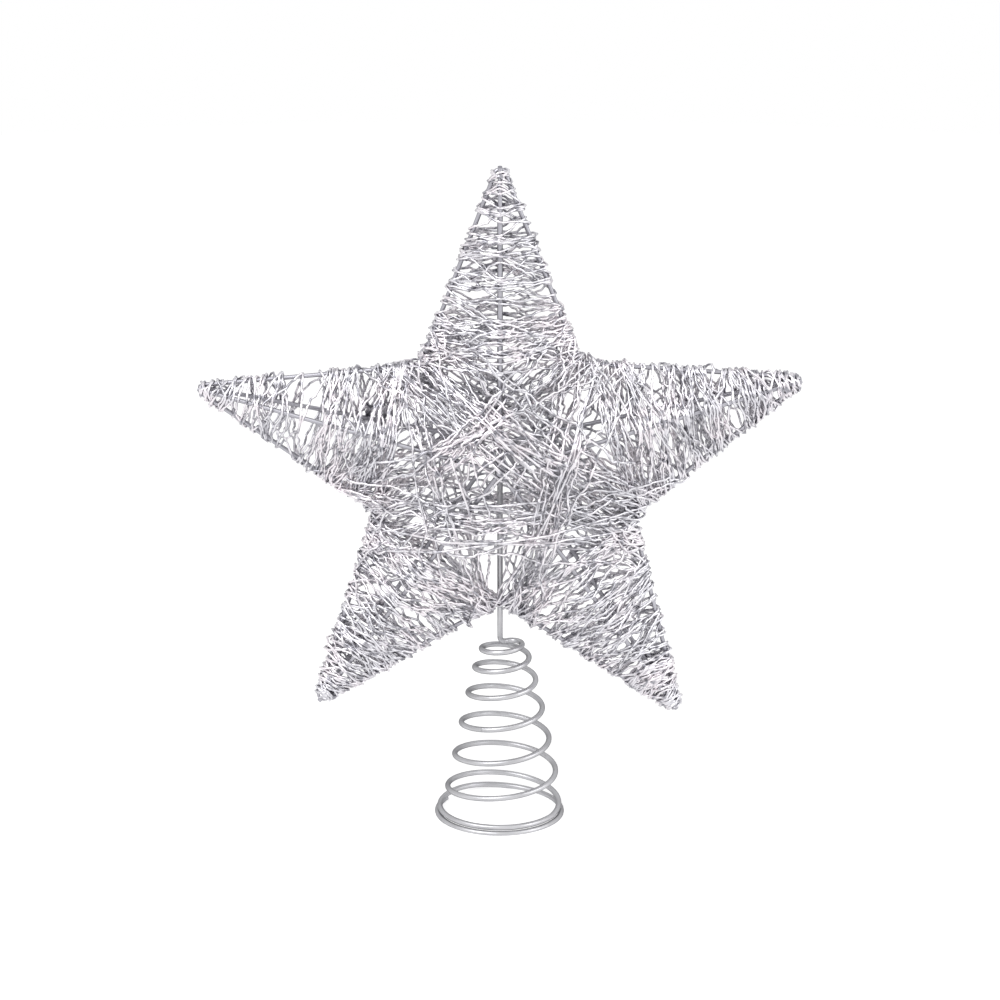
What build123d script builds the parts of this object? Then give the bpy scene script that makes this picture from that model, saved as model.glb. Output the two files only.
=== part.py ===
from build123d import *
from math import cos, radians, sin, sqrt
import os

import numpy as np

# A tree-topper star: a bent-wire star wound with thin wire, on a stem that ends in a conical coil
# spring. The origin is the middle of the coil's flat foot. +Z is up and the front faces -Y.

# Driving dimensions of the star's frame, in millimetres and degrees
TIP_REACH = 106.9        # star centre to the corner where an arm's two legs would meet
NOTCH_REACH = 45.8       # star centre to the corner where two arms meet
APEX_DEPTH = 17.5        # mid-plane to the middle of each apex
TIP_BEND = 1.8           # bend radius of the outline at a tip
NOTCH_BEND = 3.0         # bend radius of the outline at a notch
FRAME_WIRE = 1.5         # diameter of the outline and ridge wires
APEX_BEAD = 3.6          # diameter of the bead where five ridges meet
WELD_GAP = 0.1           # clearance between wires that are welded side by side

# The five arms, hand-bent, counted the way that the angle grows from +X
ARM_NAMES = ("top", "left", "lower_left", "lower_right", "right")
ARM_ANGLES = (90.0, 166.4, 234.4, 304.1, 375.1)
NOTCH_ANGLES = (129.5, 204.3, 270.0, 336.2, 411.1)
TIP_TRIMS = (-5.0, -0.4, 2.2, 3.6, -0.2)    # how much farther out each tip is bent
NOTCH_TRIMS = (-4.3, -0.4, 5.0, 2.9, -3.4)  # how much farther out each notch is bent

# Driving dimensions of the thin wire that is wound round the star
WRAP_WIRE = 0.85         # diameter of the wrapping wire
WRAP_CLEAR = 0.15        # clearance between a wrap and what it lies on
ARM_LOOPS = 24           # loops round each arm
ARM_START = 9.5          # tip corner to the first loop, along the arm
ARM_ROOT_GAP = 3.2       # last loop of an arm to the nearest cross wrap, along the arm
CROSS_LOOPS = 5          # loops of each cross wrap
CROSS_APEX_GAP = 10.5    # apex to the innermost cross wrap, along a ridge
CROSS_RIDGE_STEP = 2.15  # from loop to loop of a cross wrap, along a ridge
CROSS_BAND_GAP = 1.1     # between the cross wraps that share a ridge, along it
CROSS_LEG_START = 3.2    # notch corner to the first hook of a cross wrap, along a leg
CROSS_LEG_STEP = 1.5     # from hook to hook, along a leg
CROSS_LAYERS = (1, 2, 0, 1, 0)   # how many layers each cross wrap lies above the ridges

# Driving dimensions of the stem and the coil spring
STEM_WIRE = 1.9          # diameter of the stem and coil wire
STEM_SHOWN = 13.7        # length of stem between the coil and the bottom notch
COIL_BASE_RADIUS = 21.7  # centre of the wire, at its lower end
COIL_WAIST_RADIUS = 20.5 # centre of the wire, where the open turns start
COIL_TOP_RADIUS = 6.6    # centre of the wire, at the top of the open turns
COIL_RISE = 58.7         # height gained by the open turns
COIL_LEAN = 1.2          # how far to the right of the foot's middle the open turns stand
LEAN_TURNS = 0.75        # turns in which they move over
COIL_START_ANGLE = 150.0 # where the lower end of the wire lies
BASE_TURNS = 1.5         # close-wound turns at the foot
OPEN_TURNS = 6.0         # open turns above them
COIL_CLOSE_GAP = 0.6     # gap between the close-wound turns
COIL_FLAT = 0.5          # depth of the flat under the foot
FLAT_TURNS = 0.72        # turns that lie flat before the wire climbs over its own end
CLIMB_TURNS = 0.26       # turns that the climb takes
OPEN_EASE = 0.22         # how much the pitch is above its mean at the lower open turns
EASE_POWER = 4           # how late the pitch falls off towards the top
STEM_BEND = 2.0          # bend radius where the top turn becomes the stem
STEM_MEET_ANGLE = 31.0   # where the top turn comes in to the stem, from +X
LOWER_TURNS = 2.75       # open turns in the part of the coil that shortens
MIDDLE_TURNS = 1.5       # open turns in the part of the coil that sways

FULL_TURN = 360.0
BIARCS_PER_TURN = 4
HEADING_STEP = 0.02      # turns on each side of a place that give the coil's heading there
NEAR_WIRES = 4           # wire diameters of a path that count as the same place
COIL_TURNS = BASE_TURNS + OPEN_TURNS
COIL_FOOT_Z = STEM_WIRE / 2 - COIL_FLAT
COIL_TOP_Z = COIL_FOOT_Z + STEM_WIRE + COIL_CLOSE_GAP + COIL_RISE
STEM_FOOT_Z = COIL_TOP_Z + STEM_BEND
TIP_REACHES = [TIP_REACH + trim for trim in TIP_TRIMS]
NOTCH_REACHES = [NOTCH_REACH + trim for trim in NOTCH_TRIMS]
BOTTOM_NOTCH = 2
STAR_Z = STEM_FOOT_Z + STEM_SHOWN + NOTCH_REACHES[BOTTOM_NOTCH]
STEM_Y = FRAME_WIRE / 2 + STEM_WIRE / 2 + WELD_GAP
ARM_COUNT = len(ARM_NAMES)
FRONT = -1
REAR = 1

os.makedirs("parts", exist_ok=True)


def star_point(reach, angle, y=0.0):
    """A point at a reach and an angle from the star's centre, y behind its mid-plane."""
    return Vector(reach * cos(radians(angle)), y, STAR_Z + reach * sin(radians(angle)))


TIPS = [star_point(reach, angle) for reach, angle in zip(TIP_REACHES, ARM_ANGLES)]
NOTCHES = [star_point(reach, angle) for reach, angle in zip(NOTCH_REACHES, NOTCH_ANGLES)]


def save(builder, name):
    """Name a finished piece and write it."""
    builder.part.label = name
    export_step(builder.part, f"parts/{name}.step")


def least_gap(path, wire):
    """The smallest gap that a tube along a path leaves to itself, measured on points."""
    points = []
    for edge in path.order_edges():
        count = max(2, round(edge.length / wire))
        run = [edge @ (step / count) for step in range(count + 1)]
        if points and (run[-1] - points[-1]).length < (run[0] - points[-1]).length:
            run.reverse()
        points += run
    places = np.array([tuple(point) for point in points])
    steps = np.linalg.norm(np.diff(places, axis=0), axis=1)
    along = np.concatenate([[0.0], np.cumsum(steps)])
    apart = np.linalg.norm(places[:, None] - places[None], axis=2)
    distant = np.abs(along[:, None] - along[None]) > NEAR_WIRES * wire
    return apart[distant].min() - wire


def square_to(path):
    """The plane across the start of a path."""
    return Plane(origin=path @ 0, z_dir=path % 0)


# The frame of the star


def arm_axis(arm):
    """The direction from the star's centre to a tip."""
    return (TIPS[arm] - star_point(0, 0)).normalized()


def tip_crown(arm):
    """How far from the star's centre the outline's middle line reaches at a tip."""
    toward_notches = [(NOTCHES[side] - TIPS[arm]).normalized() for side in (arm - 1, arm)]
    half_angle = radians(toward_notches[0].get_angle(toward_notches[1]) / 2)
    return TIP_REACHES[arm] - TIP_BEND * (1 / sin(half_angle) - 1)


def ridge_point(arm, reach, side):
    """The middle of a ridge wire at a reach from the star's centre, on the front or rear side."""
    tip_depth = FRAME_WIRE + WELD_GAP
    slope = (APEX_DEPTH - tip_depth) / tip_crown(arm)
    return star_point(reach, ARM_ANGLES[arm], side * (APEX_DEPTH - slope * reach))


def make_outline():
    corners = [point for pair in zip(TIPS, NOTCHES) for point in pair]
    bends = [TIP_BEND, NOTCH_BEND] * ARM_COUNT
    with BuildPart() as outline:
        with BuildLine() as path:
            FilletPolyline(*corners, radius=bends, close=True)
        with BuildSketch(square_to(path.line)):
            Circle(FRAME_WIRE / 2)
        sweep(path=path.line)
    save(outline, "outline_wire")


def make_ridge(name, arm, side):
    """A straight wire from an apex bead to the outer face of a tip."""
    apex = ridge_point(arm, 0, side)
    tip = ridge_point(arm, tip_crown(arm) + FRAME_WIRE / 2, side)
    along = (tip - apex).normalized()
    foot = apex + along * (APEX_BEAD / 2 + WELD_GAP)
    with BuildPart() as ridge:
        with BuildSketch(Plane(origin=foot, z_dir=along)):
            Circle(FRAME_WIRE / 2)
        extrude(amount=(tip - foot).length)
    save(ridge, name)


def make_apex_bead(name, side):
    with BuildPart() as bead:
        with Locations(ridge_point(0, 0, side)):
            Sphere(APEX_BEAD / 2)
    save(bead, name)


# The wire wound round the star


def leg_point(arm, notch, travel):
    """A point of an arm's leg, a travel from the notch at its foot."""
    return NOTCHES[notch] + (TIPS[arm] - NOTCHES[notch]).normalized() * travel


def leg_crossing(arm, notch, from_tip):
    """A point of an arm's leg, a distance from the tip corner measured along the arm."""
    along = (NOTCHES[notch] - TIPS[arm]).normalized()
    return TIPS[arm] + along * (from_tip / -along.dot(arm_axis(arm)))


def wrap_corners(seats):
    """Corners and bends of a taut wrap round the seats: points of frame wires, in winding order."""
    corners = []
    bends = []
    for before, (seat, frame_wire, lift), after in zip(seats, seats[1:], seats[2:]):
        back = (before[0] - seat).normalized()
        ahead = (after[0] - seat).normalized()
        crossing = abs(back.cross(ahead).normalized().dot(frame_wire.normalized()))
        bend = FRAME_WIRE / 2 / crossing + WRAP_WIRE / 2 + WRAP_CLEAR + lift
        half_angle = radians(back.get_angle(ahead) / 2)
        corners.append(seat - (back + ahead).normalized() * (bend / sin(half_angle)))
        bends.append(bend)
    return corners, bends[1:-1]


def arm_seats(arm):
    """Where an arm's winding crosses the four wires of the arm, from the tip to the root."""
    hooks_end = CROSS_LEG_START + CROSS_LOOPS * CROSS_LEG_STEP + WRAP_WIRE
    axis = arm_axis(arm)
    roots = [(TIPS[arm] - leg_point(arm, notch, hooks_end)).dot(axis) for notch in (arm - 1, arm)]
    pitch = (min(roots) - ARM_ROOT_GAP - ARM_START) / ARM_LOOPS
    stations = ((arm - 1, None), (None, FRONT), (arm, None), (None, REAR))
    seats = []
    for corner in range(-1, len(stations) * ARM_LOOPS + 2):
        from_tip = ARM_START + pitch * corner / len(stations)
        notch, side = stations[corner % len(stations)]
        if side is None:
            seats.append((leg_crossing(arm, notch, from_tip), TIPS[arm] - NOTCHES[notch], 0.0))
        else:
            wire = ridge_point(arm, TIP_REACH, side) - ridge_point(arm, 0, side)
            seats.append((ridge_point(arm, TIP_REACHES[arm] - from_tip, side), wire, 0.0))
    return seats


def cross_seats(band):
    """Where a cross wrap crosses the two legs and four ridges that it lies on."""
    first_notch = band
    first_arm = (band + 1) % ARM_COUNT
    second_arm = (band + 2) % ARM_COUNT
    second_notch = (band + 2) % ARM_COUNT
    layer = CROSS_LAYERS[band]
    band_width = CROSS_LOOPS * CROSS_RIDGE_STEP + CROSS_BAND_GAP
    lift = layer * (WRAP_WIRE + WRAP_CLEAR)
    stations = ((first_arm, None), (first_arm, FRONT), (second_arm, FRONT),
                (second_arm, None), (second_arm, REAR), (first_arm, REAR))
    seats = []
    for corner in range(-1, len(stations) * CROSS_LOOPS + 2):
        turns = corner / len(stations)
        arm, side = stations[corner % len(stations)]
        if side is None:
            notch = first_notch if arm == first_arm else second_notch
            travel = CROSS_LEG_START + turns * CROSS_LEG_STEP
            seats.append((leg_point(arm, notch, travel), TIPS[arm] - NOTCHES[notch], 0.0))
        else:
            reach = CROSS_APEX_GAP + layer * band_width + turns * CROSS_RIDGE_STEP
            wire = ridge_point(arm, TIP_REACH, side) - ridge_point(arm, 0, side)
            seats.append((ridge_point(arm, reach, side), wire, lift))
    return seats


def make_wrap(name, seats):
    corners, bends = wrap_corners(seats)
    with BuildPart() as wrap:
        with BuildLine() as path:
            FilletPolyline(*corners, radius=bends)
        with BuildSketch(square_to(path.line)):
            Circle(WRAP_WIRE / 2)
        sweep(path=path.line)
    print(name, "least gap to itself", round(least_gap(path.wire(), WRAP_WIRE), 2))
    save(wrap, name)


# The stem and its coil spring


def eased(share):
    """A share of a move, held between 0 and 1, that starts and ends gently."""
    held = min(1.0, max(0.0, share))
    return held * held * (3 - 2 * held)


def coil_point(turn):
    """The middle of the coil wire after a number of turns from its lower end."""
    open_share = max(0.0, turn - BASE_TURNS) / OPEN_TURNS
    climb = eased((turn - FLAT_TURNS) / CLIMB_TURNS)
    lean = COIL_LEAN * eased((turn - BASE_TURNS) / LEAN_TURNS)
    rise = COIL_RISE * ((1 + OPEN_EASE) * open_share - OPEN_EASE * open_share ** EASE_POWER)
    if turn < BASE_TURNS:
        radius = COIL_BASE_RADIUS + (COIL_WAIST_RADIUS - COIL_BASE_RADIUS) * turn / BASE_TURNS
    else:
        radius = COIL_WAIST_RADIUS + (COIL_TOP_RADIUS - COIL_WAIST_RADIUS) * open_share
    angle = radians(COIL_START_ANGLE + FULL_TURN * turn)
    height = COIL_FOOT_Z + (STEM_WIRE + COIL_CLOSE_GAP) * climb + rise
    return Vector(lean + radius * cos(angle), radius * sin(angle), height)


def coil_heading(turn):
    """The direction in which the coil wire runs."""
    return (coil_point(turn + HEADING_STEP) - coil_point(turn - HEADING_STEP)).normalized()


def biarc(start, heading, end, end_heading):
    """Two arcs from start to end that keep both headings."""
    span = end - start
    both = heading + end_heading
    spread = 2 * (1 - heading.dot(end_heading))
    reach = (sqrt(span.dot(both) ** 2 + spread * span.dot(span)) - span.dot(both)) / spread
    middle = (start + end + (heading - end_heading) * reach) * 0.5
    first = TangentArc(start, middle, tangent=heading)
    TangentArc(middle, end, tangent=first % 1)


def make_coil(name, first_turn, last_turn, into_stem=False):
    """A stretch of the coil between two turns, the top one with its bend into the stem."""
    count = round((last_turn - first_turn) * BIARCS_PER_TURN)
    turns = [first_turn + (last_turn - first_turn) * step / count for step in range(count + 1)]
    with BuildPart() as coil:
        with BuildLine() as path:
            for low, high in zip(turns, turns[1:]):
                biarc(coil_point(low), coil_heading(low), coil_point(high), coil_heading(high))
            if into_stem:
                inward = Vector(-1, 0, 0).rotate(Axis.Z, STEM_MEET_ANGLE)
                bend_start = Vector(0, STEM_Y, COIL_TOP_Z) - inward * STEM_BEND
                biarc(coil_point(last_turn), coil_heading(last_turn), bend_start, inward)
                TangentArc(bend_start, Vector(0, STEM_Y, STEM_FOOT_Z), tangent=inward)
        with BuildSketch(square_to(path.line)):
            Circle(STEM_WIRE / 2)
        sweep(path=path.line)
        if first_turn == 0:
            split(bisect_by=Plane.XY, keep=Keep.TOP)
    print(name, "least gap to itself", round(least_gap(path.wire(), STEM_WIRE), 2))
    save(coil, name)


def make_stem():
    """From the coil, past the back of the bottom notch, up to the rear ridge of the top arm."""
    rear = ridge_point(0, 0, REAR)
    slope = (rear.Y - ridge_point(0, TIP_REACH, REAR).Y) / TIP_REACH
    top_depth = STEM_Y + STEM_WIRE / 2 + (FRAME_WIRE / 2 + WELD_GAP) * sqrt(1 + slope * slope)
    stem_top_z = STAR_Z + (APEX_DEPTH - top_depth) / slope
    with BuildPart() as stem:
        with BuildSketch(Plane((0, STEM_Y, STEM_FOOT_Z))):
            Circle(STEM_WIRE / 2)
        extrude(amount=stem_top_z - STEM_FOOT_Z)
    save(stem, "stem")


make_outline()
for arm, arm_name in enumerate(ARM_NAMES):
    make_ridge(f"front_ridge_{arm_name}", arm, FRONT)
    make_ridge(f"rear_ridge_{arm_name}", arm, REAR)
    make_wrap(f"arm_winding_{arm_name}", arm_seats(arm))
    make_wrap(f"cross_wrap_{arm + 1}", cross_seats(arm))
make_apex_bead("front_apex_bead", FRONT)
make_apex_bead("rear_apex_bead", REAR)
make_stem()
lower_end = BASE_TURNS + LOWER_TURNS
middle_end = lower_end + MIDDLE_TURNS
make_coil("coil_base_ring", 0, BASE_TURNS)
make_coil("coil_lower_turns", BASE_TURNS, lower_end)
make_coil("coil_middle_turns", lower_end, middle_end)
make_coil("coil_top_turns", middle_end, COIL_TURNS, into_stem=True)
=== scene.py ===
"""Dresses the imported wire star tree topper: its windings, coil spring, finishes and a plain studio."""

import math

import bmesh
import bpy
import numpy as np
from bpy.props import FloatProperty, FloatVectorProperty, IntProperty, PointerProperty
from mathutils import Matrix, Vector


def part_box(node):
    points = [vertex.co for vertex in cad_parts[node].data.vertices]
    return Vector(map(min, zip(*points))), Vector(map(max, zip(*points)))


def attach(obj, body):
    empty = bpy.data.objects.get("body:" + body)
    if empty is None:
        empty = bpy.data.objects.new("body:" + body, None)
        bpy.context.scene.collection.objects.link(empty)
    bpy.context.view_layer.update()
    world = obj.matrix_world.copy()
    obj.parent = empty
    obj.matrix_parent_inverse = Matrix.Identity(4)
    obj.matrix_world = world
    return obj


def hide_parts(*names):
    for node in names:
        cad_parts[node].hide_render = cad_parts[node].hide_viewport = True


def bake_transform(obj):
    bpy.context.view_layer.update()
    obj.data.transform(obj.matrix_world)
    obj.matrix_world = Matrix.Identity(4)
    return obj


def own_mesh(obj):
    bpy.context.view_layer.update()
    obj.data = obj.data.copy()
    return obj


bl_info = {
    "name": "Wire Star Tree Topper",
    "version": (1, 0, 0),
    "blender": (4, 5, 0),
    "location": "View3D > Sidebar > Star Topper",
    "description": "Winds, finishes and lights a wire star on a conical coil spring",
    "category": "Object",
}

# The frame, in metres: the star faces -Y and the coil's foot stands on the floor at the origin
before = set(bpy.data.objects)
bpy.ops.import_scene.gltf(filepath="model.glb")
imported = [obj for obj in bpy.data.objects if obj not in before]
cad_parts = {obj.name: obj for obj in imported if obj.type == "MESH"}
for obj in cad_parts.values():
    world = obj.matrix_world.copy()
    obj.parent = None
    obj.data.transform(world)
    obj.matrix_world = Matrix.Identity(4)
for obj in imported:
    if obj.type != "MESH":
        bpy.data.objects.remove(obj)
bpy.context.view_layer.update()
bead_low, bead_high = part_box("front_apex_bead")
outline_low, outline_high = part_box("outline_wire")
stem_low, stem_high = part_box("stem")
apex = (bead_low + bead_high) / 2
stem_middle = (stem_low + stem_high) / 2

MM = 0.001
FRONT = -1
REAR = 1

# The five hand-bent arms, counted the way that the angle grows from +X
# Notch i lies between arm i and arm i + 1
ARM_NAMES = ("top", "left", "lower_left", "lower_right", "right")
ARM_ANGLES = np.radians((90.0, 166.4, 234.4, 304.1, 375.1))
NOTCH_ANGLES = np.radians((129.5, 204.3, 270.0, 336.2, 411.1))
TIP_TRIMS = np.array((-5.0, -0.4, 2.2, 3.6, -0.2)) * MM
NOTCH_TRIMS = np.array((-4.3, -0.4, 5.0, 2.9, -3.4)) * MM
ARM_COUNT = len(ARM_NAMES)
BOTTOM_NOTCH = 2

# Layers of winding on each arm, and straight loops that each cross wrap ends with
ARM_LAYERS = (2, 2, 3, 3, 3)
TAUT_LOOPS = (1, 3, 2, 4, 1)

# How many times the mean the loosest wrap stands off the outline
LOOSEST = 7

# Turns of the coil: the close-wound base, the open turns, and where its stretches meet
BASE_TURNS = 1.5
OPEN_TURNS = 6.0
LOWER_END = 4.25
MIDDLE_END = 5.75

# Sides of the wires' sections, and how much of its colour each flake lacquer keeps at its edges
WRAP_SIDES = 6
COIL_SIDES = 16
FRAME_FLOP = 0.3
COIL_FLOP = 0.15


def linear(hex_colour):
    """An sRGB hex colour as linear red, green and blue."""
    channels = [int(hex_colour[place:place + 2], 16) / 255 for place in (1, 3, 5)]
    return tuple(c / 12.92 if c <= 0.04045 else ((c + 0.055) / 1.055) ** 2.4 for c in channels)


# Sizes and colours that a user would change


class StarSizes(bpy.types.PropertyGroup):
    """The bent-wire frame of the star."""

    tip_reach: FloatProperty(
        name="Tip Reach", description="Star centre to the corner of a tip",
        default=106.9 * MM, unit="LENGTH")
    notch_reach: FloatProperty(
        name="Notch Reach", description="Star centre to the corner between two arms",
        default=45.8 * MM, unit="LENGTH")
    tip_bend: FloatProperty(
        name="Tip Bend", description="Bend radius of the outline at a tip",
        default=1.8 * MM, unit="LENGTH")
    tip_depth: FloatProperty(
        name="Tip Depth", description="Mid-plane to the middle of a ridge wire at a tip",
        default=1.6 * MM, unit="LENGTH")
    apex_depth: FloatProperty(
        name="Apex Depth", description="Mid-plane to the middle of the front or rear apex",
        default=-apex.y, unit="LENGTH")
    centre_height: FloatProperty(
        name="Centre Height", description="Floor to the star's centre",
        default=apex.z, unit="LENGTH")
    frame_wire: FloatProperty(
        name="Frame Wire", description="Diameter of the outline and ridge wires",
        default=outline_high.y - outline_low.y, unit="LENGTH")
    apex_bead: FloatProperty(
        name="Apex Bead", description="Diameter of the bead where five ridges meet",
        default=bead_high.z - bead_low.z, unit="LENGTH")


class WrapSizes(bpy.types.PropertyGroup):
    """The thin wire that is wound round the star."""

    wire: FloatProperty(
        name="Wire", description="Diameter of the wrapping wire",
        default=0.86 * MM, unit="LENGTH")
    arm_pitch: FloatProperty(
        name="Arm Pitch", description="Mean distance from loop to loop in a layer, along the arm",
        default=2.2 * MM, unit="LENGTH")
    arm_start: FloatProperty(
        name="Arm Start", description="Tip corner to the first loop, along the arm",
        default=4.0 * MM, unit="LENGTH")
    tip_loops: IntProperty(
        name="Tip Loops", description="More loops in each layer that bind the tip", default=2)
    tip_bound: FloatProperty(
        name="Tip Bound", description="Length of the arm that those loops bind",
        default=9.0 * MM, unit="LENGTH")
    loose_from: FloatProperty(
        name="Loose From", description="Tip corner to where the loops lie as loose as elsewhere",
        default=18.0 * MM, unit="LENGTH")
    slant: FloatProperty(
        name="Slant", description="How far a loop wanders along the arm between the frame wires",
        default=3.5 * MM, unit="LENGTH")
    slant_from: FloatProperty(
        name="Slant From", description="Tip corner to where the loops slant as much as elsewhere",
        default=40.0 * MM, unit="LENGTH")
    crossings: IntProperty(
        name="Crossings", description="Times that each cross wrap crosses the body, front and back",
        default=34)
    stem_share: FloatProperty(
        name="Stem Share", description="Share of the crossings low over the stem that are kept",
        default=0.05, subtype="FACTOR")
    stem_clear: FloatProperty(
        name="Stem Clear", description="How close to the stem a crossing counts as over it",
        default=3.5 * MM, unit="LENGTH")
    stem_bare: FloatProperty(
        name="Stem Bare", description="Height over the bottom notch to which the stem shows",
        default=15.0 * MM, unit="LENGTH")
    hook_spread: FloatProperty(
        name="Hook Spread", description="Farthest from a notch that a crossing hooks, along a leg",
        default=28.0 * MM, unit="LENGTH")
    aim_reach: FloatProperty(
        name="Aim Reach", description="Star centre to the farthest place that a crossing aims at",
        default=34.0 * MM, unit="LENGTH")
    pile: FloatProperty(
        name="Pile", description="How high the wraps pile up on the ridges",
        default=2.0 * MM, unit="LENGTH")
    edge_pile: FloatProperty(
        name="Edge Pile", description="Mean distance that the wraps stand off the outline",
        default=0.35 * MM, unit="LENGTH")
    kink: FloatProperty(
        name="Kink", description="How far each kink pushes the wire off its line",
        default=0.22 * MM, unit="LENGTH")
    kink_step: FloatProperty(
        name="Kink Step", description="Distance from kink to kink",
        default=1.3 * MM, unit="LENGTH")
    wander: FloatProperty(
        name="Wander", description="How far the wire wanders off its line between the frame wires",
        default=0.8 * MM, unit="LENGTH")
    body_wander: FloatProperty(
        name="Body Wander", description="The same for the loose crossings of the body",
        default=1.3 * MM, unit="LENGTH")
    wander_step: FloatProperty(
        name="Wander Step", description="Distance from bend to bend of the wander",
        default=8.0 * MM, unit="LENGTH")
    free_span: FloatProperty(
        name="Free Span", description="Distance from a frame wire at which the wire is free to wander",
        default=5.0 * MM, unit="LENGTH")
    seed: IntProperty(name="Seed", description="Picks another hand at the winding", default=11)


class CoilSizes(bpy.types.PropertyGroup):
    """The conical coil spring and the stem."""

    wire: FloatProperty(
        name="Wire", description="Diameter of the stem and coil wire",
        default=stem_high.x - stem_low.x, unit="LENGTH")
    base_radius: FloatProperty(
        name="Base Radius", description="Radius of the wire's middle at its lower end",
        default=21.7 * MM, unit="LENGTH")
    waist_radius: FloatProperty(
        name="Waist Radius", description="Radius of the wire's middle where the open turns start",
        default=20.5 * MM, unit="LENGTH")
    top_radius: FloatProperty(
        name="Top Radius", description="Radius of the wire's middle at the top of the open turns",
        default=6.6 * MM, unit="LENGTH")
    foot_height: FloatProperty(
        name="Foot Height", description="Height of the wire's middle at its lower end",
        default=0.45 * MM, unit="LENGTH")
    close_pitch: FloatProperty(
        name="Close Pitch", description="Height between the two close-wound turns",
        default=1.95 * MM, unit="LENGTH")
    rise: FloatProperty(
        name="Rise", description="Height that the open turns gain",
        default=59.25 * MM, unit="LENGTH")
    lean: FloatProperty(
        name="Lean", description="How far to the right of the foot's middle the open turns stand",
        default=1.2 * MM, unit="LENGTH")
    stem_bend: FloatProperty(
        name="Stem Bend", description="Bend radius where the top turn becomes the stem",
        default=2.0 * MM, unit="LENGTH")


class Finishes(bpy.types.PropertyGroup):
    """The colours of the three wires and the floor."""

    # Painted glint: the colour of the facets that noise picks as bright, standing in for facets that
    # catch the lamps
    wrap_painted_glint: FloatVectorProperty(
        name="Wrap Bright", description="Facets of the wrapping wire that face the light",
        default=linear("#eae9ee"), subtype="COLOR", size=3)
    # The same painted glint colour with a rosy tinge, mixed in by a slow noise
    wrap_rosy_painted_glint: FloatVectorProperty(
        name="Wrap Rosy", description="The same facets where the wire is tinged",
        default=linear("#eee9ed"), subtype="COLOR", size=3)
    # Painted shade: the colour of the facets that noise picks as dark, standing in for facets turned
    # away from the light
    wrap_painted_shade: FloatVectorProperty(
        name="Wrap Dark", description="Facets of the wrapping wire that are turned away",
        default=linear("#a6a5ac"), subtype="COLOR", size=3)
    frame_silver: FloatVectorProperty(
        name="Frame Silver", description="Silver lacquer of the star's frame",
        default=linear("#b1b0b7"), subtype="COLOR", size=3)
    coil_silver: FloatVectorProperty(
        name="Coil Silver", description="Silver lacquer of the stem and the coil",
        default=linear("#c2c2c5"), subtype="COLOR", size=3)
    floor_white: FloatVectorProperty(
        name="Floor White", description="Paint of the studio floor",
        default=linear("#e4e4e4"), subtype="COLOR", size=3)


class StudioSettings(bpy.types.PropertyGroup):
    """The camera and the light."""

    camera_back: FloatProperty(
        name="Camera Back", description="How far the camera stands in front of the star",
        default=1.1409, unit="LENGTH")
    camera_height: FloatProperty(
        name="Camera Height", description="Floor to the camera",
        default=0.4738, unit="LENGTH")
    camera_tilt: FloatProperty(
        name="Camera Tilt", description="How far the camera looks down",
        default=math.radians(17.54), unit="ROTATION")
    lens: FloatProperty(
        name="Lens", description="Focal length in millimetres, on a 36 mm sensor", default=127.6)
    key_power: FloatProperty(
        name="Key Power", description="Power of the large lamp above and to the left, in watts",
        default=20.0)
    fill_power: FloatProperty(
        name="Fill Power", description="Power of the lamp to the right, in watts", default=7.0)
    room_level: FloatProperty(
        name="Room Level", description="Brightness of the room that lights matt surfaces", default=0.4)


# Wire


def unit(vector):
    """The vector scaled to a length of one."""
    return vector / np.linalg.norm(vector)


def wire_piece(name, runs, diameter, sides, finish):
    """One mesh of round wires, each along its own run of points."""
    curve = bpy.data.curves.new(name, "CURVE")
    curve.dimensions = "3D"
    curve.bevel_depth = diameter / 2
    curve.bevel_resolution = (sides - 4) // 2
    curve.use_fill_caps = True
    for run in runs:
        spline = curve.splines.new("POLY")
        spline.points.add(len(run) - 1)
        spline.points.foreach_set("co", np.column_stack([run, np.ones(len(run))]).ravel())
    maker = bpy.data.objects.new(name, curve)
    mesh = bpy.data.meshes.new_from_object(maker)
    bpy.data.objects.remove(maker)
    bpy.data.curves.remove(curve)
    mesh.name = name
    mesh.shade_smooth()
    mesh.materials.clear()
    mesh.materials.append(finish)
    piece = bpy.data.objects.new(name, mesh)
    bpy.context.scene.collection.objects.link(piece)
    return piece


def taut_path(seats):
    """The path of a wire pulled over seats, each a point of a frame wire and a distance to keep."""
    path = []
    for (before, _), (seat, offset), (after, _) in zip(seats, seats[1:], seats[2:]):
        back = unit(before - seat)
        ahead = unit(after - seat)
        outward = -unit(back + ahead)
        along = unit(ahead - back)
        half_turn = (math.pi - math.acos(np.clip(back @ ahead, -1, 1))) / 2
        for angle in (-half_turn, 0, half_turn):
            path.append(seat + offset * (math.cos(angle) * outward + math.sin(angle) * along))
    return np.array(path)


def hand_wound(path, wraps, rng, kink, wander):
    """The path with kinks at every step and a slower wander, both growing away from the frame wires."""
    lengths = np.linalg.norm(np.diff(path, axis=0), axis=1)
    along = np.concatenate([[0.0], np.cumsum(lengths)])
    stretches = [
        np.linspace(low, high, max(1, round((high - low) / wraps.kink_step)), endpoint=False)
        for low, high in zip(along, along[1:])
    ]
    places = np.concatenate(stretches)
    nearby = along[np.searchsorted(along, places, "right")[:, None] - (1, 0)]
    seated = np.abs(places[:, None] - nearby).min(1)
    least_freedom = 0.3
    freedom = np.clip(seated / wraps.free_span, least_freedom, 1)
    bends = np.arange(0, along[-1] + wraps.wander_step, wraps.wander_step)
    bows = rng.normal(0, wander, (len(bends), 3))
    kinks = rng.normal(0, kink, (len(places), 3))
    runs = []
    for axis in range(3):
        line = np.interp(places, along, path[:, axis])
        drift = np.interp(places, bends, bows[:, axis])
        runs.append(line + freedom * (drift + kinks[:, axis]))
    return np.column_stack(runs)


# Places on the star's frame


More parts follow.
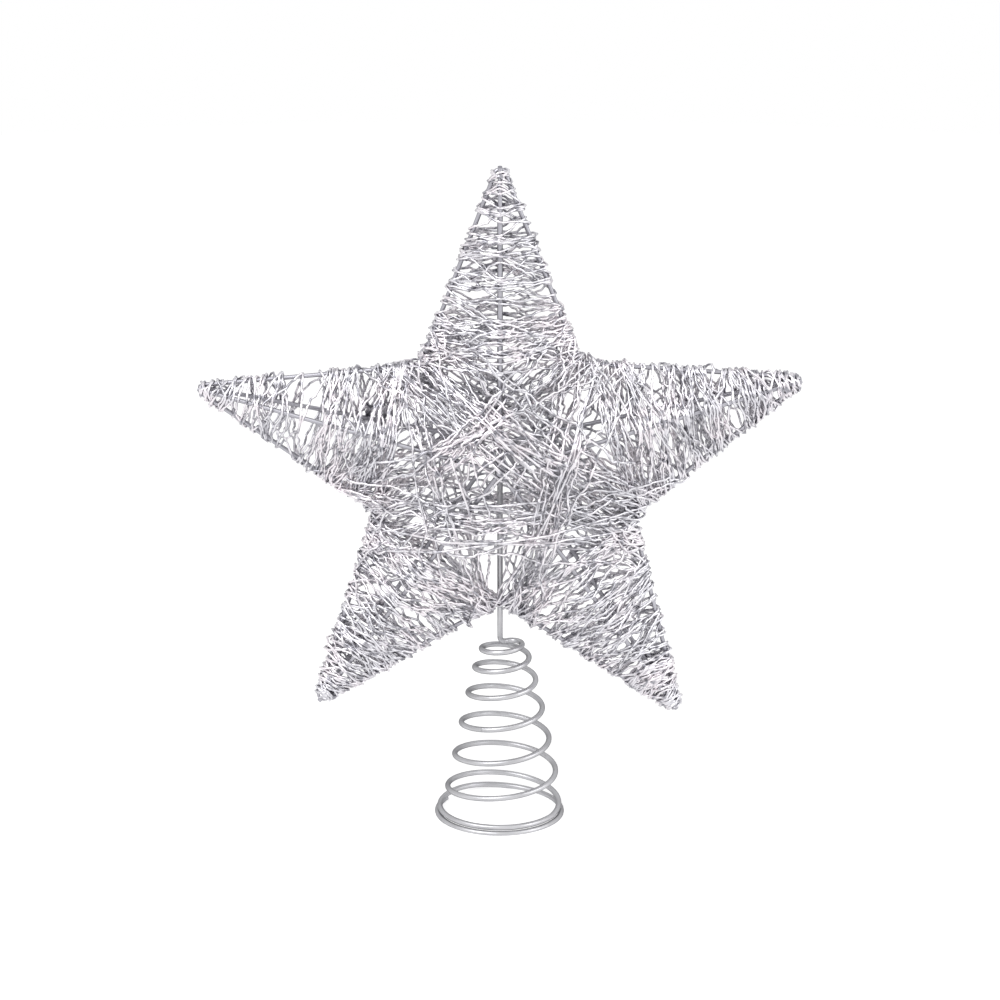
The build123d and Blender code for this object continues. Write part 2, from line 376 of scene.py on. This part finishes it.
def star_point(star, reach, angle, y=0.0):
    """A point at a reach and an angle from the star's centre, y behind its mid-plane."""
    return np.array([reach * math.cos(angle), y, star.centre_height + reach * math.sin(angle)])


def tip_reach(star, arm):
    """Star centre to the corner of one tip."""
    return star.tip_reach + TIP_TRIMS[arm % ARM_COUNT]


def tip(star, arm):
    """The corner of one tip of the outline."""
    return star_point(star, tip_reach(star, arm), ARM_ANGLES[arm % ARM_COUNT])


def notch(star, place):
    """The corner of one notch of the outline."""
    reach = star.notch_reach + NOTCH_TRIMS[place % ARM_COUNT]
    return star_point(star, reach, NOTCH_ANGLES[place % ARM_COUNT])


def ridge_point(star, arm, reach, side):
    """The middle of a ridge wire, which ends at the crown of the tip, at a reach from the centre."""
    legs = [unit(notch(star, place) - tip(star, arm)) for place in (arm - 1, arm)]
    half_angle = math.acos(legs[0] @ legs[1]) / 2
    crown = tip_reach(star, arm) - star.tip_bend * (1 / math.sin(half_angle) - 1)
    depth = star.apex_depth - (star.apex_depth - star.tip_depth) * reach / crown
    return star_point(star, reach, ARM_ANGLES[arm % ARM_COUNT], side * depth)


def leg_point(star, arm, place, travel):
    """A point of the leg from a notch to a tip, a travel from the notch."""
    foot = notch(star, place)
    return foot + unit(tip(star, arm) - foot) * travel


def leg_crossing(star, arm, place, from_tip):
    """A point of the same leg, a distance from the tip measured along the arm."""
    end = tip(star, arm)
    along = unit(notch(star, place) - end)
    axis = unit(end - star_point(star, 0, 0))
    return end - along * (from_tip / (along @ axis))


def meet(start, pull, foot, leg):
    """How far along two lines they cross, seen from the front, as shares of both."""
    lines = np.array([[pull[0], -leg[0]], [pull[2], -leg[2]]])
    return np.linalg.solve(lines, [foot[0] - start[0], foot[2] - start[2]])


def far_hook(star, hook, aim):
    """Where a wire pulled from a hook over an aim leaves the outline: travel from a notch, point."""
    least_share = 0.1
    hooks = []
    for arm in range(ARM_COUNT):
        for place in (arm - 1, arm):
            foot = notch(star, place)
            leg = tip(star, arm) - foot
            share, along = meet(hook, aim - hook, foot, leg)
            if share > least_share and 0 < along < 1:
                hooks.append((share, along * np.linalg.norm(leg), foot + along * leg))
    return min(hooks, key=lambda found: found[0])[1:]


# Windings


def arm_runs(star, wraps, arm, rng):
    """Layers of loops round the four wires of an arm, wound to and fro between its tip and its root."""
    stations = ((arm - 1, None), (None, FRONT), (arm, None), (None, REAR))
    axis = unit(tip(star, arm) - star_point(star, 0, 0))
    root = min((tip(star, arm) - notch(star, place)) @ axis for place in (arm - 1, arm))
    clearance = (star.frame_wire + wraps.wire) / 2
    evenness, crowding = 0.65, 1.1
    runs = []
    for layer in range(ARM_LAYERS[arm]):
        loops = round((root - wraps.arm_start) / wraps.arm_pitch)
        advances = np.repeat(rng.gamma(evenness, 1.0, loops), len(stations))
        places = (np.cumsum(advances) / advances.sum()) ** crowding
        bound_share = wraps.tip_bound / (root - wraps.arm_start)
        bound = rng.uniform(0, bound_share, len(stations) * wraps.tip_loops)
        places = np.sort(np.concatenate([places, bound]))
        if layer % 2:
            places = 1 - places
        seats = []
        for step, place in enumerate(places):
            from_tip = wraps.arm_start + place * (root - wraps.arm_start)
            from_tip += rng.normal(0, wraps.slant) * min(1, from_tip / wraps.slant_from)
            from_tip = min(max(from_tip, wraps.arm_start), root)
            leg, side = stations[step % len(stations)]
            lift = wraps.edge_pile * min(rng.exponential(), LOOSEST)
            lift *= min(1, from_tip / wraps.loose_from)
            if side is None:
                seat = leg_crossing(star, arm, leg, from_tip)
            else:
                seat = ridge_point(star, arm, tip_reach(star, arm) - from_tip, side)
            seats.append((seat, clearance + lift))
        runs.append(hand_wound(taut_path(seats), wraps, rng, wraps.kink, wraps.wander))
    return runs


def crossing_seats(star, wraps, start, end, side, pile):
    """Seats of a wire pulled from leg to leg over one side: the ridges that hold it up, in order."""
    centre = star_point(star, 0, 0)
    places = []
    for arm in range(ARM_COUNT):
        share, along = meet(start, end - start, centre, tip(star, arm) - centre)
        if 0 < share < 1 and 0 < along < 1:
            reach = along * tip_reach(star, arm)
            offset = (star.frame_wire + wraps.wire) / 2 + pile
            if reach < star.apex_bead / 2:
                offset += (star.apex_bead - star.frame_wire) / 2
            places.append((share, ridge_point(star, arm, reach, side), offset))
    hull = [(0.0, start, 0.0)]
    for place in sorted(places, key=lambda found: found[0]) + [(1.0, end, 0.0)]:
        while len(hull) > 1 and not holds_up(*hull[-2:], place):
            hull.pop()
        hull.append(place)
    return [(seat, offset) for _, seat, offset in hull[1:-1]]


def holds_up(before, middle, after):
    """Whether the middle place stands above the straight line between the other two."""
    heights = [abs(seat[1]) + offset for _, seat, offset in (before, middle, after)]
    share = (middle[0] - before[0]) / (after[0] - before[0])
    return heights[1] > heights[0] + share * (heights[2] - heights[0])


def hides_stem(star, wraps, hook, ahead):
    """Whether a wire from hook to hook passes close to the stem, where the stem shows."""
    samples = 25
    run = hook + np.linspace(0, 1, samples)[:, None] * (ahead - hook)
    low = run[run[:, 2] < notch(star, BOTTOM_NOTCH)[2] + wraps.stem_bare]
    return len(low) > 0 and np.abs(low[:, 0]).min() < wraps.stem_clear


def piled_run(star, wraps, band, rng):
    """One wire hooked from leg to leg across the body at all angles, over front and rear in turn."""
    clearance = (star.frame_wire + wraps.wire) / 2
    hook = leg_point(star, band, band, wraps.hook_spread)
    seats = [(hook, clearance)]
    for crossing in range(wraps.crossings):
        side = REAR if crossing % 2 else FRONT
        chance = 0.0
        while rng.random() > chance:
            aim = star_point(star, wraps.aim_reach * math.sqrt(rng.random()), rng.uniform(0, math.tau))
            travel, ahead = far_hook(star, hook, aim)
            chance = max(0.0, 1 - travel / wraps.hook_spread)
            if hides_stem(star, wraps, hook, ahead):
                chance *= wraps.stem_share
        seats += crossing_seats(star, wraps, hook, ahead, side, rng.uniform(0, wraps.pile))
        seats.append((ahead, clearance + wraps.edge_pile * min(rng.exponential(), LOOSEST)))
        hook = ahead
    return hand_wound(taut_path(seats), wraps, rng, wraps.kink, wraps.body_wander)


def taut_run(star, wraps, band, rng):
    """The last wire, pulled straight in loops between two notches, over all that lies below it."""
    clearance = (star.frame_wire + wraps.wire) / 2
    nearest, farthest = 0.05, 0.5
    hooks = []
    for turn in range(2 * TAUT_LOOPS[band]):
        place = band + 2 * (turn % 2)
        arm = place + rng.integers(2)
        hooks.append(leg_point(star, arm, place, rng.uniform(nearest, farthest) * wraps.hook_spread))
    seats = [(hooks[0], clearance)]
    for turn, (hook, ahead) in enumerate(zip(hooks, hooks[1:])):
        side = REAR if turn % 2 else FRONT
        pile = wraps.pile + rng.uniform(0, 2) * wraps.wire
        seats += crossing_seats(star, wraps, hook, ahead, side, pile)
        seats.append((ahead, clearance + 2 * wraps.edge_pile))
    return hand_wound(taut_path(seats), wraps, rng, wraps.kink / 4, wraps.wander / 4)


# The coil spring


def eased(share):
    """A share of a move, held between 0 and 1, that starts and ends gently."""
    held = min(1.0, max(0.0, share))
    return held * held * (3 - 2 * held)


def coil_point(coil, turn):
    """The middle of the coil wire after a number of turns from its lower end."""
    flat_turns, climb_turns, lean_turns = 0.72, 0.26, 0.75
    ease, ease_power = 0.22, 4
    start_angle = math.radians(150.0)
    open_share = max(0.0, turn - BASE_TURNS) / OPEN_TURNS
    climb = eased((turn - flat_turns) / climb_turns)
    lean = coil.lean * eased((turn - BASE_TURNS) / lean_turns)
    rise = coil.rise * ((1 + ease) * open_share - ease * open_share ** ease_power)
    radius = np.interp(turn, (0, BASE_TURNS, BASE_TURNS + OPEN_TURNS),
                       (coil.base_radius, coil.waist_radius, coil.top_radius))
    angle = start_angle + math.tau * turn
    height = coil.foot_height + coil.close_pitch * climb + rise
    return np.array([lean + radius * math.cos(angle), radius * math.sin(angle), height])


def coil_run(coil, first_turn, last_turn):
    """Points of the coil between two turns, close enough together to look round."""
    points_per_turn = 72
    count = round((last_turn - first_turn) * points_per_turn) + 1
    return np.array([coil_point(coil, turn) for turn in np.linspace(first_turn, last_turn, count)])


def stem_bend(coil, start, heading, foot):
    """The end of the top turn, which curls in to the stem and bends up into its foot."""
    meet_angle = math.radians(31.0)
    inward = np.array([-math.cos(meet_angle), -math.sin(meet_angle), 0])
    up = np.array([0, 0, 1])
    bend_start = foot - (inward + up) * coil.stem_bend
    pull = 0.55 * np.linalg.norm(bend_start - start)
    shares = np.linspace(0, 1, 30)[1:, None]
    left = 1 - shares
    near = start + heading * pull
    far = bend_start - inward * pull
    curl = left**3 * start + 3 * left**2 * shares * near
    curl += 3 * left * shares**2 * far + shares**3 * bend_start
    turned = np.linspace(0, math.pi / 2, 12)[1:, None]
    bend = bend_start + coil.stem_bend * (np.sin(turned) * inward + (1 - np.cos(turned)) * up)
    return np.vstack([curl, bend])


# Finishes


def add_node(tree, kind, inputs=(), **settings):
    """Add a node with its settings. Each input is a socket and its value, or an output to link."""
    made = tree.nodes.new(kind)
    for name, value in settings.items():
        setattr(made, name, value)
    for socket, value in dict(inputs).items():
        if isinstance(value, bpy.types.NodeSocket):
            tree.links.new(value, made.inputs[socket])
        else:
            made.inputs[socket].default_value = value
    return made


def add_noise(tree, place, size, detail, roughness=0.5):
    """Add noise with patches of a real size, and give its output."""
    made = add_node(tree, "ShaderNodeTexNoise", {
        "Vector": place, "Scale": 1 / size, "Detail": detail, "Roughness": roughness})
    return made.outputs["Fac"]


def add_range(tree, value, low, high, to_low=0.0, to_high=1.0):
    """Add a map from low and high to another range, and give its output."""
    made = add_node(tree, "ShaderNodeMapRange", {
        "Value": value, "From Min": low, "From Max": high, "To Min": to_low, "To Max": to_high})
    return made.outputs["Result"]


def new_material(name):
    """An empty node material and its tree."""
    made = bpy.data.materials.new(name)
    made.use_nodes = True
    made.node_tree.nodes.clear()
    return made, made.node_tree


def crimped_wire_with_painted_glints(finish):
    """Bright aluminium wire, crimped as it was wound, with painted glints and painted shade: noise
    paints each small facet either white, as if it caught the lamps, or dark, as if it faced away.
    """
    facet_size = 2.2 * MM
    tint_size = 14 * MM
    # Real drawing scratches are some 0.05 mm wide, too fine for this view, so they are drawn coarser
    scratch_size = 0.5 * MM
    made, tree = new_material("crimped aluminium wire with painted glints and shade")
    place = add_node(tree, "ShaderNodeTexCoord").outputs["Object"]
    # One noise picks the facets: high values get the painted glint colour, low values the painted shade
    # colour, and the same noise bumps the surface
    facets = add_noise(tree, place, facet_size, 1.0, roughness=0.4)
    turned = add_range(tree, facets, 0.34, 0.48)
    patches = add_noise(tree, place, tint_size, 2.0)
    tinge = add_range(tree, patches, 0.42, 0.62)
    bright = add_node(tree, "ShaderNodeMix", {
        "Factor": tinge, 6: (*finish.wrap_painted_glint, 1), 7: (*finish.wrap_rosy_painted_glint, 1)}, data_type="RGBA")
    colour = add_node(tree, "ShaderNodeMix", {
        "Factor": turned, 6: (*finish.wrap_painted_shade, 1), 7: bright.outputs[2]}, data_type="RGBA")
    shade = add_range(tree, patches, 0.3, 0.7, 0.8, 1.0)
    tinted = add_node(tree, "ShaderNodeVectorMath", {
        0: colour.outputs[2], "Scale": shade}, operation="SCALE")
    scratches = add_noise(tree, place, scratch_size, 3.0)
    gloss = add_range(tree, scratches, 0.0, 1.0, 0.18, 0.42)
    bump = add_node(tree, "ShaderNodeBump", {
        "Height": facets, "Strength": 0.6, "Distance": 0.25 * MM})
    surface = add_node(tree, "ShaderNodeBsdfPrincipled", {
        "Base Color": tinted.outputs[0], "Metallic": 1.0, "Roughness": gloss,
        "Normal": bump.outputs["Normal"]})
    add_node(tree, "ShaderNodeOutputMaterial", {"Surface": surface.outputs["BSDF"]})
    return made


def lacquered_steel_wire(name, silver, flop):
    """Drawn steel wire under silver flake lacquer: satin, faintly grainy grey, darker at its edges."""
    # Real flakes are some 0.05 mm wide, too fine for this view, so they are drawn coarser
    flake_size = 0.35 * MM
    patch_size = 9 * MM
    made, tree = new_material(name)
    place = add_node(tree, "ShaderNodeTexCoord").outputs["Object"]
    flakes = add_noise(tree, place, flake_size, 2.0)
    patches = add_noise(tree, place, patch_size, 3.0)
    shade = add_range(tree, patches, 0.3, 0.7, 0.84, 1.06)
    colour = add_node(tree, "ShaderNodeVectorMath", {0: silver, "Scale": shade}, operation="SCALE")
    gloss = add_range(tree, flakes, 0.0, 1.0, 0.3, 0.5)
    bump = add_node(tree, "ShaderNodeBump", {
        "Height": flakes, "Strength": 0.25, "Distance": 0.05 * MM})
    surface = add_node(tree, "ShaderNodeBsdfPrincipled", {
        "Base Color": colour.outputs[0], "Metallic": 1.0, "Roughness": gloss,
        "Specular Tint": (flop, flop, flop, 1), "Normal": bump.outputs["Normal"]})
    add_node(tree, "ShaderNodeOutputMaterial", {"Surface": surface.outputs["BSDF"]})
    return made


def seen_directly(tree):
    """One for rays from the camera, from metal and through glass, which see the plain white studio."""
    path = add_node(tree, "ShaderNodeLightPath")
    shiny = add_node(tree, "ShaderNodeMath", {
        0: path.outputs["Is Glossy Ray"], 1: path.outputs["Is Transmission Ray"]}, operation="MAXIMUM")
    both = add_node(tree, "ShaderNodeMath", {
        0: path.outputs["Is Camera Ray"], 1: shiny.outputs[0]}, operation="MAXIMUM")
    return both.outputs[0]


def painted_floor(finish):
    """Matt white paint, topped up to plain white where it is looked at, so that only shadow shows."""
    top_up = 0.605
    made, tree = new_material("matt white floor paint")
    paint = add_node(tree, "ShaderNodeBsdfDiffuse", {"Color": (*finish.floor_white, 1)})
    level = add_node(tree, "ShaderNodeMath", {0: seen_directly(tree), 1: top_up}, operation="MULTIPLY")
    glow = add_node(tree, "ShaderNodeEmission", {"Color": (1, 1, 1, 1), "Strength": level.outputs[0]})
    both = add_node(tree, "ShaderNodeAddShader", {0: paint.outputs[0], 1: glow.outputs[0]})
    add_node(tree, "ShaderNodeOutputMaterial", {"Surface": both.outputs[0]})
    return made


def white_room(world, room_level):
    """White where it is looked at, and a plain level of light on matt surfaces."""
    world.use_nodes = True
    tree = world.node_tree
    tree.nodes.clear()
    seen = add_node(tree, "ShaderNodeBackground", {"Color": (1, 1, 1, 1), "Strength": 1.0})
    light = add_node(tree, "ShaderNodeBackground", {"Color": (1, 1, 1, 1), "Strength": room_level})
    both = add_node(tree, "ShaderNodeMixShader", {
        0: seen_directly(tree), 1: light.outputs[0], 2: seen.outputs[0]})
    add_node(tree, "ShaderNodeOutputWorld", {"Surface": both.outputs[0]})


def wrap_finish(scene):
    """The finish of the wrapping wire, made once."""
    made = bpy.data.materials.get("crimped aluminium wire with painted glints and shade")
    return made or crimped_wire_with_painted_glints(scene.topper_finish)


def dress_node(name, finish):
    """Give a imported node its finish."""
    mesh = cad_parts[name].data
    mesh.materials.clear()
    mesh.materials.append(finish)
    mesh.shade_smooth()


# Operators


class TOPPER_OT_frame_wires(bpy.types.Operator):
    """Finish the outline, the ridges and the apex beads of the star"""

    bl_idname = "topper.frame_wires"
    bl_label = "Finish Frame Wires"

    def execute(self, context):
        silver = context.scene.topper_finish.frame_silver
        finish = lacquered_steel_wire("lacquered steel frame wire", silver, FRAME_FLOP)
        names = ["outline_wire", "front_apex_bead", "rear_apex_bead"]
        names += [f"{side}_ridge_{arm}" for side in ("front", "rear") for arm in ARM_NAMES]
        for name in names:
            dress_node(name, finish)
        return {"FINISHED"}


class TOPPER_OT_arm_windings(bpy.types.Operator):
    """Wind the thin wire round each arm of the star"""

    bl_idname = "topper.arm_windings"
    bl_label = "Wind Arms"

    def execute(self, context):
        star = context.scene.topper_star
        wraps = context.scene.topper_wraps
        finish = wrap_finish(context.scene)
        for arm, name in enumerate(ARM_NAMES):
            rng = np.random.default_rng((wraps.seed, arm))
            runs = arm_runs(star, wraps, arm, rng)
            piece = wire_piece(f"arm_wrap_{name}", runs, wraps.wire, WRAP_SIDES, finish)
            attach(piece, "star")
            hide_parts(f"arm_winding_{name}")
        return {"FINISHED"}


class TOPPER_OT_cross_wraps(bpy.types.Operator):
    """Wind the thin wire from notch to notch over the star's body"""

    bl_idname = "topper.cross_wraps"
    bl_label = "Wind Body"

    def execute(self, context):
        star = context.scene.topper_star
        wraps = context.scene.topper_wraps
        finish = wrap_finish(context.scene)
        for band in range(ARM_COUNT):
            rng = np.random.default_rng((wraps.seed, ARM_COUNT + band))
            runs = [piled_run(star, wraps, band, rng), taut_run(star, wraps, band, rng)]
            piece = wire_piece(f"body_wrap_{band + 1}", runs, wraps.wire, WRAP_SIDES, finish)
            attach(piece, "star")
            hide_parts(f"cross_wrap_{band + 1}")
        return {"FINISHED"}


class TOPPER_OT_coil_spring(bpy.types.Operator):
    """Coil the spring, and finish it and the stem"""

    bl_idname = "topper.coil_spring"
    bl_label = "Coil Spring"

    def execute(self, context):
        coil = context.scene.topper_coil
        silver = context.scene.topper_finish.coil_silver
        finish = lacquered_steel_wire("satin lacquered steel wire", silver, COIL_FLOP)
        dress_node("stem", finish)
        foot_run = coil_run(coil, 0, BASE_TURNS)
        lower_run = coil_run(coil, BASE_TURNS, LOWER_END)
        middle_run = coil_run(coil, LOWER_END, MIDDLE_END)
        top_run = coil_run(coil, MIDDLE_END, BASE_TURNS + OPEN_TURNS)
        base = wire_piece("coil_foot", [foot_run], coil.wire, COIL_SIDES, finish)
        for vertex in base.data.vertices:
            vertex.co.z = max(vertex.co.z, 0)
        lower = wire_piece("coil_lower", [lower_run], coil.wire, COIL_SIDES, finish)
        middle = wire_piece("coil_middle", [middle_run], coil.wire, COIL_SIDES, finish)
        stem_foot = np.array([stem_middle.x, stem_middle.y, stem_low.z])
        bend = stem_bend(coil, top_run[-1], unit(top_run[-1] - top_run[-2]), stem_foot)
        top = wire_piece("coil_top", [np.vstack([top_run, bend])], coil.wire, COIL_SIDES, finish)

        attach(base, "base")
        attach(lower, "base")
        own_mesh(lower)
        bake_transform(middle)
        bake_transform(top)
        for piece, node in ((base, "coil_base_ring"), (lower, "coil_lower_turns"),
                            (middle, "coil_middle_turns"), (top, "coil_top_turns")):
            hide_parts(node)
        return {"FINISHED"}


class TOPPER_OT_studio(bpy.types.Operator):
    """Set up the floor, the light and the camera"""

    bl_idname = "topper.studio"
    bl_label = "Set Up Studio"

    def execute(self, context):
        scene = context.scene
        studio = scene.topper_studio
        # The floor ends before the lamps' light fades, so that no horizon shows against the white room
        floor_radius = 1.2
        mesh = bpy.data.meshes.new("floor")
        disc = bmesh.new()
        bmesh.ops.create_circle(disc, cap_ends=True, segments=96, radius=floor_radius)
        disc.to_mesh(mesh)
        disc.free()
        mesh.materials.append(painted_floor(scene.topper_finish))
        floor = bpy.data.objects.new("floor", mesh)
        scene.collection.objects.link(floor)

        target = Vector((0, 0, apex.z))
        lamps = (("key", (-0.9, -1.1, 1.5), studio.key_power, 1.2),
                 ("fill", (1.3, -0.6, 0.8), studio.fill_power, 1.0))
        for name, place, power, size in lamps:
            lamp = bpy.data.lights.new(name, "AREA")
            lamp.energy = power
            lamp.size = size
            holder = bpy.data.objects.new(name, lamp)
            holder.location = place
            holder.rotation_euler = (target - Vector(place)).to_track_quat("-Z", "Y").to_euler()
            scene.collection.objects.link(holder)

        scene.world = scene.world or bpy.data.worlds.new("studio")
        white_room(scene.world, studio.room_level)
        scene.view_settings.view_transform = "Standard"

        camera = bpy.data.cameras.new("camera")
        camera.lens = studio.lens
        camera.sensor_width = 36.0
        holder = bpy.data.objects.new("camera", camera)
        holder.location = (0, -studio.camera_back, studio.camera_height)
        holder.rotation_euler = (math.pi / 2 - studio.camera_tilt, 0, 0)
        scene.collection.objects.link(holder)
        scene.camera = holder
        return {"FINISHED"}


class TOPPER_PT_panel(bpy.types.Panel):
    """Lists the steps that dress the star"""

    bl_label = "Star Topper"
    bl_idname = "TOPPER_PT_panel"
    bl_space_type = "VIEW_3D"
    bl_region_type = "UI"
    bl_category = "Star Topper"

    def draw(self, context):
        for operator in OPERATORS:
            self.layout.operator(operator.bl_idname)


OPERATORS = (TOPPER_OT_studio, TOPPER_OT_frame_wires, TOPPER_OT_arm_windings,
             TOPPER_OT_cross_wraps, TOPPER_OT_coil_spring)
GROUPS = {"topper_star": StarSizes, "topper_wraps": WrapSizes, "topper_coil": CoilSizes,
          "topper_finish": Finishes, "topper_studio": StudioSettings}
CLASSES = (*GROUPS.values(), *OPERATORS, TOPPER_PT_panel)


def register():
    for cls in CLASSES:
        bpy.utils.register_class(cls)
    for name, group in GROUPS.items():
        setattr(bpy.types.Scene, name, PointerProperty(type=group))


def unregister():
    for name in GROUPS:
        delattr(bpy.types.Scene, name)
    for cls in reversed(CLASSES):
        bpy.utils.unregister_class(cls)


def main():
    register()
    bpy.ops.topper.studio()
    bpy.ops.topper.frame_wires()
    bpy.ops.topper.arm_windings()
    bpy.ops.topper.cross_wraps()
    bpy.ops.topper.coil_spring()


if __name__ == "__main__":
    main()
